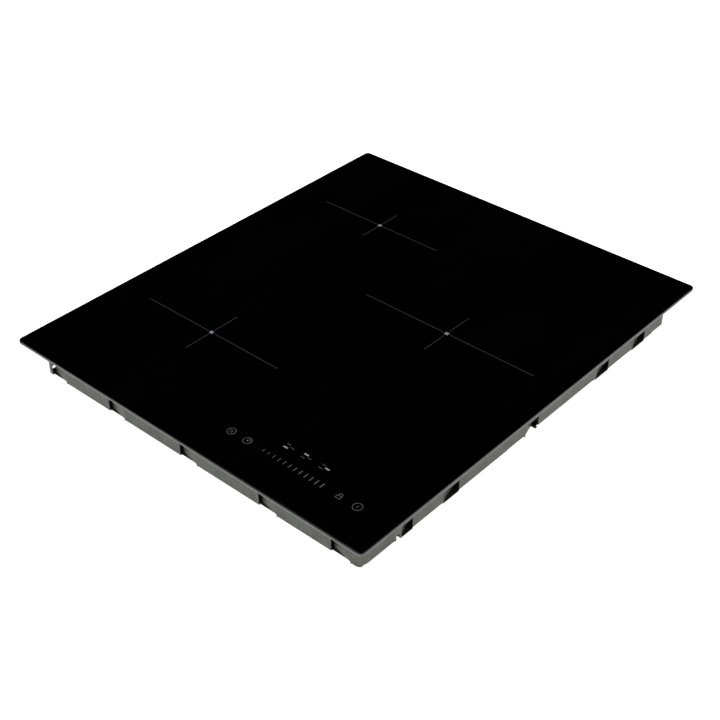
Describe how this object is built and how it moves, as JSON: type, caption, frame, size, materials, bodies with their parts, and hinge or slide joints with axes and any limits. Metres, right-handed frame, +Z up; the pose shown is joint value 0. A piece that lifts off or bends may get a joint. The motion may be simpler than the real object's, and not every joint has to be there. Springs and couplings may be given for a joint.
{
  "type": "built-in induction cooktop",
  "caption": "Flush-top built-in induction cooktop: black glass plate on a vented steel tray, with coils, power boards, blowers, touch controls and a hinged terminal lid.",
  "frame": {"origin": "middle of the tray's underside, which is the lowest face", "axes": "+Z up out of the glass, +Y from the controls towards the back, +X to the right"},
  "size_m": [0.45, 0.52, 0.044],
  "materials": {
    "ceramic_glass": "polished black ceramic glass",
    "enamel_print": "fired grey enamel print",
    "foam_seal": "closed-cell foam",
    "silicone": "cured silicone adhesive",
    "coated_steel": "satin aluminised steel sheet",
    "zinc_steel": "zinc-plated steel",
    "brass": "turned brass",
    "mica": "mica paper",
    "copper_litz": "enamelled stranded copper",
    "nylon_white": "glass-filled nylon",
    "ferrite": "sintered ferrite",
    "aluminium_sheet": "rolled aluminium",
    "silicone_red": "silicone rubber",
    "sensor_ceramic": "fired ceramic",
    "lead_red": "silicone-braided lead",
    "board_green": "solder-masked circuit board",
    "contact_black": "conductive foam",
    "lamp_red": "red lamp housing",
    "ribbon_grey": "ribbon cable",
    "polymer_black": "flame-retardant moulding",
    "holder_grey": "flame-retardant moulding",
    "aluminium_extruded": "extruded aluminium",
    "component_black": "epoxy package",
    "film_yellow": "film capacitor case",
    "copper_wire": "enamelled copper",
    "relay_blue": "relay case",
    "mains_pvc": "heat-resistant lead",
    "motor_copper": "wound stator",
    "shaft_steel": "ground steel",
    "terminal_nylon": "nylon with clamps",
    "gland_rubber": "moulded rubber"
  },
  "bodies": {
    "hob": {"glass_plate": "ceramic_glass", "zone_marks": "enamel_print", "control_marks": "enamel_print", "worktop_seal": "foam_seal", "frame_adhesive": "silicone", "glass_frame": "zinc_steel", "frame_screws": "zinc_steel", "base_tray": "coated_steel", "pillars": "brass", "base_screws": "zinc_steel", "shield_screws": "zinc_steel", "front_left_mat": "mica", "front_left_coil": "copper_litz", "front_left_carrier": "nylon_white", "front_left_ferrites": "ferrite", "front_left_shield": "aluminium_sheet", "rear_left_mat": "mica", "rear_left_coil": "copper_litz", "rear_left_carrier": "nylon_white", "rear_left_ferrites": "ferrite", "rear_left_shield": "aluminium_sheet", "right_mat": "mica", "right_coil": "copper_litz", "right_carrier": "nylon_white", "right_ferrites": "ferrite", "right_shield": "aluminium_sheet", "coil_cushions": "silicone_red", "heat_sensors": "sensor_ceramic", "coil_leads": "lead_red", "control_carrier": "nylon_white", "control_board": "board_green", "touch_contacts": "contact_black", "indicator_lamps": "lamp_red", "control_ribbon": "ribbon_grey", "left_board_holder": "holder_grey", "left_power_board": "board_green", "left_heat_sink": "aluminium_extruded", "right_board_holder": "holder_grey", "right_power_board": "board_green", "right_heat_sink": "aluminium_extruded", "power_transistors": "component_black", "film_capacitors": "film_yellow", "board_screws": "zinc_steel", "mains_filter_board": "board_green", "filter_chokes": "copper_wire", "relays": "relay_blue", "mains_leads": "mains_pvc", "left_fan_housing": "polymer_black", "left_fan_motor": "motor_copper", "right_fan_housing": "polymer_black", "right_fan_motor": "motor_copper", "terminal_box": "polymer_black", "terminal_block": "terminal_nylon", "cable_clamp": "polymer_black", "cable_gland": "gland_rubber"},
    "left_fan": {"left_fan_wheel": "polymer_black", "left_fan_shaft": "shaft_steel"},
    "right_fan": {"right_fan_wheel": "polymer_black", "right_fan_shaft": "shaft_steel"},
    "lid": {"terminal_lid": "polymer_black"}
  },
  "joints": [
    {"name": "left_fan_spin", "type": "hinge", "parent": "hob", "child": "left_fan", "pos_m": [-0.018, 0.172, 0.01], "axis": [0, 0, 1], "continuous": true},
    {"name": "right_fan_spin", "type": "hinge", "parent": "hob", "child": "right_fan", "pos_m": [0.143, 0.172, 0.01], "axis": [0, 0, 1], "continuous": true},
    {"name": "terminal_lid_hinge", "type": "hinge", "parent": "hob", "child": "lid", "pos_m": [-0.154, 0.197, 0.0024], "axis": [-1, 0, 0], "range_deg": [0, 95]}
  ]
}
